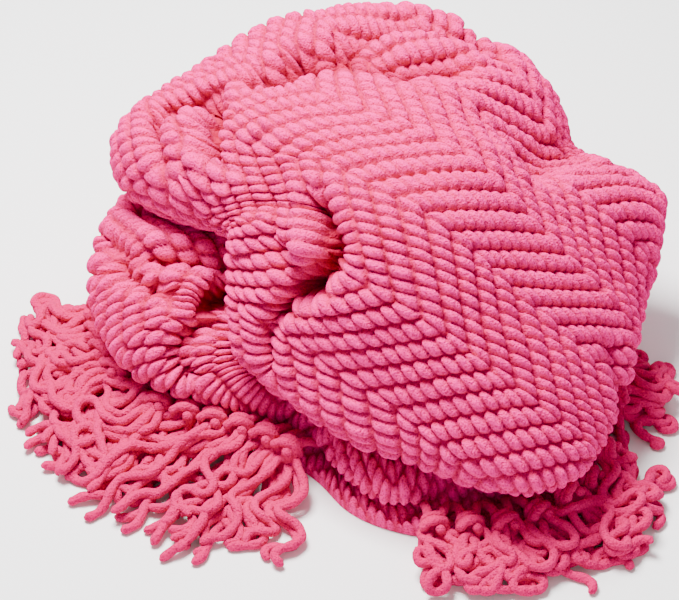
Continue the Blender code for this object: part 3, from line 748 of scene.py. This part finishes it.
def lower_piece(piece_name, lowest, highest):
    """A band of the knit from one rope's groove to another's, bent to a ring that stands on its hem."""
    row = ROPE_RISE / ROWS_A_ROPE
    rows = ROWS_A_ROPE * (highest - lowest)
    line = ring_azimuth(np.arange(RING_COLUMNS + 1) / RING_COLUMNS * RING_LENGTH)
    tops = reach_at(line, LAST_STATION) - reach_at(line, LOWER_END)
    bm = bmesh.new()
    bmesh.ops.create_grid(bm, x_segments=RING_COLUMNS, y_segments=rows, size=0.5)
    for vert in bm.verts:
        u = (vert.co.x + 0.5) * RING_LENGTH
        fold = abs((u / LEG + 1) % 2 - 1) * LEG
        v = ((vert.co.y + 0.5) * rows + ROWS_A_ROPE * lowest) * row + fold
        vert.co = (u, min(max(v, 0), tops[round(u / RING_LENGTH * RING_COLUMNS)]), 0)
    pattern_uv(bm, lambda co: (co.x, co.y))
    for vert in bm.verts:
        turn = vert.co.x / RING_RADIUS
        vert.co = (RING_RADIUS * math.cos(turn), RING_RADIUS * math.sin(turn), vert.co.y)
    bmesh.ops.remove_doubles(bm, verts=bm.verts, dist=SAME_POINT)
    low, high = rims_of(bm)
    bottom, top = (
        {ring_column(vert): vert.co.z for edge in rim for vert in edge.verts} for rim in (low, high)
    )
    for edge in low + high:
        edge.smooth = False
    edges = low
    for k in range(INNER_ROWS + 1):
        share = k / INNER_ROWS
        edges = stretch_rim(bm, edges, lambda column: bottom[column] * (1 - share) + top[column] * share)
    stretch_rim(bm, high, lambda column: top[column])
    bmesh.ops.remove_doubles(bm, verts=bm.verts, dist=SAME_POINT)
    mesh, (x, y, v) = slab_mesh(bm, piece_name)
    u = np.arctan2(y, x) % (2 * math.pi) * RING_RADIUS
    inside = np.hypot(x, y) < RING_RADIUS - 0.001
    return lay_sheet(piece_name, mesh, lower_spot, u, v, u, v, inside)


roll = lower_piece("blanket_roll", LOWEST_ROPE, RING_PARTING)
tuck = lower_piece("blanket_tuck", RING_PARTING, HIGHEST_ROPE)

# The fringe: knotted bunches of loose chenille yarn along the hem.
# Doubled lengths of the blanket's own yarn, pulled through the hem in bunches and tied in one fat knot each.
# The strands are about 170 mm long and lie curled over each other in a pile. Each tassel is one piece.
YARN_THICK = 0.0096
STRAND_LONG, STRAND_SPREAD = 0.170, (0.92, 1.15)
PATH_STEP = 0.0035
FRINGES = {
    # tassels, strands in each, their fan in degrees, hem from and to, tips as azimuth and radius
    "left": (
        11, 9, 16.0, (166, 247),
        ((170, 0.366), (196, 0.356), (214, 0.358), (232, 0.334), (249, 0.290), (258, 0.280)),
    ),
    "front": (
        7, 8, 16.0, (281, 329),
        ((283, 0.292), (289, 0.322), (303, 0.350), (315, 0.362), (328, 0.335)),
    ),
    "right": (2, 8, 14.0, (340, 356), ((337, 0.300), (349, 0.308), (360, 0.296))),
}
yarn_dice = np.random.default_rng(20)

FRINGE_PINK, FRINGE_PALE = (0.57, 0.0, 0.098, 1), (0.70, 0.0, 0.14, 1)
FRINGE_DEEP, FRINGE_FLECKS = (0.33, 0.0, 0.03, 1), 0.4
fringe_yarn, tree, pile = start_yarn("pink fringe yarn")
in_fleck = worked_out(tree, "MULTIPLY", pile.outputs["Flecks"], FRINGE_FLECKS)
tone = mixed_colour(tree, pile.outputs["Patches"], FRINGE_PALE, FRINGE_PINK)
tone = mixed_colour(tree, in_fleck, tone, FRINGE_DEEP)
finish_yarn(tree, tone, pile.outputs["Height"])


def hem_radius(azimuth):
    """How far from the crown's axis the hem lies at these azimuths."""
    points = bare_surface(np.asarray(azimuth, float), np.full(len(azimuth), float(LAST_STATION)))
    return np.hypot(points[:, 0] - CROWN[0], points[:, 1] - CROWN[1])


# How high the middle of a new strand must lie at each point of a 3 mm grid: on the floor, on the lower cloth,
# or on the strands laid before it, which are pressed a little flat where they cross.
PILE_STEP, PILE_HALF, PILE_REACH = 0.003, 0.42, 4
CLOTH_FROM, CLOTH_RAISED = 9.6, 0.010
PRESSED = 0.74
pile_cells = round(2 * PILE_HALF / PILE_STEP)
pile_rest = np.full((pile_cells, pile_cells), YARN_THICK / 2)
cloth_stops = np.linspace(CLOTH_FROM, LAST_STATION, 60)
ring_turns, ring_stops = np.meshgrid(np.arange(0, 360, 0.5), cloth_stops, indexing="ij")
cloth = bare_surface(ring_turns.ravel(), ring_stops.ravel())
cells = ((cloth[:, :2] + PILE_HALF) / PILE_STEP).astype(int)
np.maximum.at(pile_rest, (cells[:, 0], cells[:, 1]), cloth[:, 2] + CLOTH_RAISED)
nearby = np.arange(-PILE_REACH, PILE_REACH + 1)
near_x, near_y = (grid.ravel() for grid in np.meshgrid(nearby, nearby, indexing="ij"))
apart = np.hypot(near_x, near_y) * PILE_STEP
near_x, near_y, apart = near_x[apart < YARN_THICK], near_y[apart < YARN_THICK], apart[apart < YARN_THICK]
CROSSING = PRESSED * np.sqrt(YARN_THICK**2 - apart**2)

# A strand steers towards its tip and swings from side to side, the more the shorter its way is for its
# length, with a smaller swing on top. Lengths are in metres and angles in radians.
STEER, STEER_UNTIL = 0.13, 0.015
STRAIGHTEST, SWING, SWING_LEAST, SWING_MOST = 0.98, 2.0, 0.03, 1.5
WAVE_SPREAD, PHASE_SPREAD = (0.88, 1.12), 0.8
SMALL_SWING, SMALL_WAVE = 0.22, (0.038, 0.055)
LOOSE_AFTER = 0.050
HEM_CLEAR = 0.002
FRINGE_EDGE = np.array((0.350, 0.326))
# It leaves its knot's height within some length, is no steeper than a slope, and has a random ceiling that
# falls towards its tip, so that the pile stays ragged. It counts for later strands once it has left its knot.
LEAVING, STEEPEST, LEVEL_TOP = 0.020, 0.90, 0.003
CEILING, CEILING_FALL, CEILING_WAVE, CEILING_WAVES = (0.008, 0.044), 0.45, 0.004, 70
COUNTED_BELOW = 0.35


def soften(values, times):
    """Evens out a run of values, but for its two ends."""
    for _ in range(times):
        values[1:-1] = 0.25 * values[:-2] + 0.5 * values[1:-1] + 0.25 * values[2:]


def strand_path(start, heading, target, length, waves):
    """A path of a given length over the floor that wanders from its start to its target in lazy curls."""
    share = min(np.linalg.norm(target - start) / length, STRAIGHTEST)
    swing = min(SWING * math.sqrt(max(1 - share, SWING_LEAST)), SWING_MOST)
    wave = waves[0] * yarn_dice.uniform(*WAVE_SPREAD)
    phase = waves[1] + yarn_dice.uniform(-PHASE_SPREAD, PHASE_SPREAD)
    small_wave, small_phase = yarn_dice.uniform(*SMALL_WAVE), yarn_dice.uniform(0, 2 * math.pi)
    place, turn = np.array(start, float), heading
    path = [place.copy()]
    for k in range(int(length / PATH_STEP)):
        gone = (k + 1) * PATH_STEP
        ahead = target - place
        if np.linalg.norm(ahead) > STEER_UNTIL:
            wanted = math.atan2(ahead[1], ahead[0])
            turn += STEER * ((wanted - turn + math.pi) % (2 * math.pi) - math.pi)
        loose = min(gone / LOOSE_AFTER, 1)
        curl = swing * math.sin(2 * math.pi * gone / wave + phase)
        small_curl = SMALL_SWING * math.sin(2 * math.pi * gone / small_wave + small_phase)
        angle = turn + loose * (curl + small_curl)
        place = place + PATH_STEP * np.array([math.cos(angle), math.sin(angle)])
        path.append(place.copy())
    path = np.array(path)
    offset = path - CROWN[:2]
    azimuth, radius = np.degrees(np.arctan2(offset[:, 1], offset[:, 0])) % 360, np.linalg.norm(offset, axis=1)
    path = CROWN[:2] + offset * np.maximum((hem_radius(azimuth) + HEM_CLEAR) / radius, 1)[:, None]
    path = np.clip(path, -FRINGE_EDGE, FRINGE_EDGE)
    soften(path, 3)
    return path


def lay_strand(path, start_height):
    """Heights that let a strand leave its knot and lie on what is under it. The strand is then counted in."""
    inner = (PILE_REACH, pile_cells - 1 - PILE_REACH)
    cells = np.clip(((path + PILE_HALF) / PILE_STEP).astype(int), *inner)
    under = pile_rest[cells[:, 0], cells[:, 1]]
    gone = np.arange(len(path)) * PATH_STEP
    leave = np.exp(-gone / LEAVING)
    wanted = under * (1 - leave) + start_height * leave
    reach = np.abs(gone[:, None] - gone[None, :])
    height = (wanted[None, :] - STEEPEST * np.maximum(reach - LEVEL_TOP, 0)).max(axis=1)
    soften(height, 4)
    fall = 1 - CEILING_FALL * gone / gone[-1]
    ceiling = yarn_dice.uniform(*CEILING) * fall + CEILING_WAVE * np.sin(gone * CEILING_WAVES)
    height = np.maximum(np.minimum(height, np.maximum(ceiling, start_height * leave)), YARN_THICK / 2)
    for (column, row), top, hold in zip(cells, height, leave):
        if hold < COUNTED_BELOW:
            np.maximum.at(pile_rest, (column + near_x, row + near_y), top + CROSSING)
    return np.column_stack([path, height])


# A strand's blunt end, and how lumpy it is along its length.
BLUNT_LONG, BLUNT_LEAST = 0.005, 0.12
LUMPS, SMALL_LUMPS = 0.07, 0.04


def add_yarn(curve, points):
    """One run of yarn as a round tube with a soft blunt end and slight lumps along it."""
    spline = curve.splines.new("POLY")
    spline.points.add(len(points) - 1)
    for k, point in enumerate(points):
        spline.points[k].co = (point[0], point[1], point[2], 1)
        left = (len(points) - 1 - k) * PATH_STEP
        blunt = math.sqrt(max(1 - max(1 - left / BLUNT_LONG, 0) ** 2, BLUNT_LEAST))
        lumps = 1 + LUMPS * math.sin(1.7 * k + left * 90) + SMALL_LUMPS * math.sin(0.7 * k + 1)
        spline.points[k].radius = blunt * lumps


# The knot of a bunch: its turns, its radius, where it sits off the hem, and the two roots that lead to it.
KNOT_WRAPS, KNOT_SIZE, WRAP_APART, KNOT_BULGE = 2.2, 0.0100, 0.82, 0.22
OVER_TURNS, OVER_SLOPE, OVER_SIZE = (-0.9, 2.9), 0.95, 1.12
KNOT_OUT, KNOT_HEIGHT = 0.013, (0.030, 0.040)
ROOT_SIDE, ROOT_WIDE, ROOT_NARROW = 0.007, 1.6, 0.6
ROOT_BACK, ROOT_HEIGHT, ROOT_ARCH = 0.022, 0.024, 0.007
# How the strands of a bunch leave their knot, and how they are shared out over the fan of tips.
WAVE_LONG = (0.080, 0.135)
STRAND_BACK, STRANDS_WIDE, STRAND_LEVEL = 0.003, 0.019, 0.005
FAN_LOOSE, HEADING_FAN, HEADING_LOOSE = 5, 1.5, 0.25
TIP_SPREAD = (0.85, 1.04)


def add_knot(curve, middle, out):
    """The knot: yarn wound round the bunch and drawn tight, with one turn lying across the others."""
    side, up = np.array([-out[1], out[0], 0.0]), np.array([0.0, 0.0, 1.0])

    def wind(turns, along, radius):
        add_yarn(curve, middle + along[:, None] * out + (radius * np.cos(turns))[:, None] * side
                 + (radius * np.sin(turns))[:, None] * up)

    turns = np.linspace(0, 2 * math.pi * KNOT_WRAPS, int(22 * KNOT_WRAPS))
    along = (turns / (2 * math.pi) - KNOT_WRAPS / 2) * YARN_THICK * WRAP_APART
    wind(turns, along, KNOT_SIZE * (1 - KNOT_BULGE * (2 * turns / turns[-1] - 1) ** 2))
    slope = np.linspace(-1, 1, 18) * YARN_THICK * OVER_SLOPE
    wind(np.linspace(*OVER_TURNS, 18), slope, KNOT_SIZE * OVER_SIZE)


def new_bunch():
    """An empty curve for one tassel's yarn, round and closed at its ends."""
    curve = bpy.data.curves.new("fringe_yarn_path", "CURVE")
    curve.dimensions = "3D"
    curve.bevel_depth = YARN_THICK / 2
    curve.bevel_resolution = 2
    curve.use_fill_caps = True
    return curve


def hem_seat(azimuth):
    """The point of the hem's edge at an azimuth, and the level directions along the hem and out from it."""
    turns = np.radians([azimuth - 1, azimuth, azimuth + 1])
    radii = hem_radius(np.degrees(turns))
    edge = np.column_stack([CROWN[0] + radii * np.cos(turns), CROWN[1] + radii * np.sin(turns), np.zeros(3)])
    side = (edge[2] - edge[0]) / np.linalg.norm(edge[2] - edge[0])
    return edge[1], side, np.array([side[1], -side[0], 0.0])


# First every tassel's knot, then all the strands, in a shuffled order so that neighbours lie over each other.
tassels, strands_left = {}, []
for run, (count, strands, fan, hem, tips) in FRINGES.items():
    fine = np.linspace(hem[0], hem[1], 400)
    reach = hem_radius(fine)
    hem_points = np.column_stack([reach * np.cos(np.radians(fine)), reach * np.sin(np.radians(fine))])
    lengths = running_length(hem_points)
    tip_turns, tip_reaches = np.array(tips, float).T
    for number in range(1, count + 1):
        azimuth = np.interp((number - 0.5) / count * lengths[-1], lengths, fine)
        seat, side, out = hem_seat(azimuth)
        knot = seat + out * KNOT_OUT + np.array([0, 0, yarn_dice.uniform(*KNOT_HEIGHT)])
        waves = (yarn_dice.uniform(*WAVE_LONG), yarn_dice.uniform(0, 2 * math.pi))
        curve = new_bunch()
        for shift in (-ROOT_SIDE, ROOT_SIDE):
            part = np.linspace(0, 1, 8)[:, None]
            start = seat - out * ROOT_BACK + side * shift * ROOT_WIDE + np.array([0, 0, ROOT_HEIGHT])
            end = knot + side * shift * ROOT_NARROW
            arch = np.array([0, 0, ROOT_ARCH]) * np.sin(math.pi * part)
            add_yarn(curve, start * (1 - part) + end * part + arch)
        add_knot(curve, knot, out)
        tassels["%s_%d" % (run, number)] = curve
        for k in range(strands):
            spread = (k + 0.5) / strands - 0.5
            level = STRAND_LEVEL if k % 2 else -STRAND_LEVEL
            start = knot - out * STRAND_BACK + side * spread * STRANDS_WIDE + np.array([0, 0, level])
            fanned = azimuth + (fan * spread + yarn_dice.uniform(-FAN_LOOSE, FAN_LOOSE))
            tip_turn = np.clip(fanned, tip_turns[0], tip_turns[-1])
            tip_reach = np.interp(tip_turn, tip_turns, tip_reaches) * yarn_dice.uniform(*TIP_SPREAD)
            tip_way = np.array([math.cos(math.radians(tip_turn)), math.sin(math.radians(tip_turn))])
            tip = CROWN[:2] + tip_reach * tip_way
            loose = yarn_dice.uniform(-HEADING_LOOSE, HEADING_LOOSE)
            heading = math.atan2(out[1], out[0]) + HEADING_FAN * spread + loose
            length = STRAND_LONG * yarn_dice.uniform(*STRAND_SPREAD)
            strands_left.append((curve, start, heading, tip, length, waves))
yarn_dice.shuffle(strands_left)
for curve, start, heading, tip, length, waves in strands_left:
    add_yarn(curve, lay_strand(strand_path(start[:2], heading, tip, length, waves), start[2]))

for tassel_name, curve in tassels.items():
    loose = bpy.data.objects.new("fringe_yarn_path", curve)
    bpy.context.scene.collection.objects.link(loose)
    bpy.context.view_layer.update()
    mesh = bpy.data.meshes.new_from_object(loose.evaluated_get(bpy.context.evaluated_depsgraph_get()))
    bpy.data.objects.remove(loose)
    bpy.data.curves.remove(curve)
    mesh.name = "fringe_" + tassel_name
    mesh.shade_smooth()
    mesh.materials.clear()
    mesh.materials.append(fringe_yarn)
    tassel = bpy.data.objects.new(mesh.name, mesh)
    bpy.context.scene.collection.objects.link(tassel)
    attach(tassel, "root")
    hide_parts("tassel_" + tassel_name)
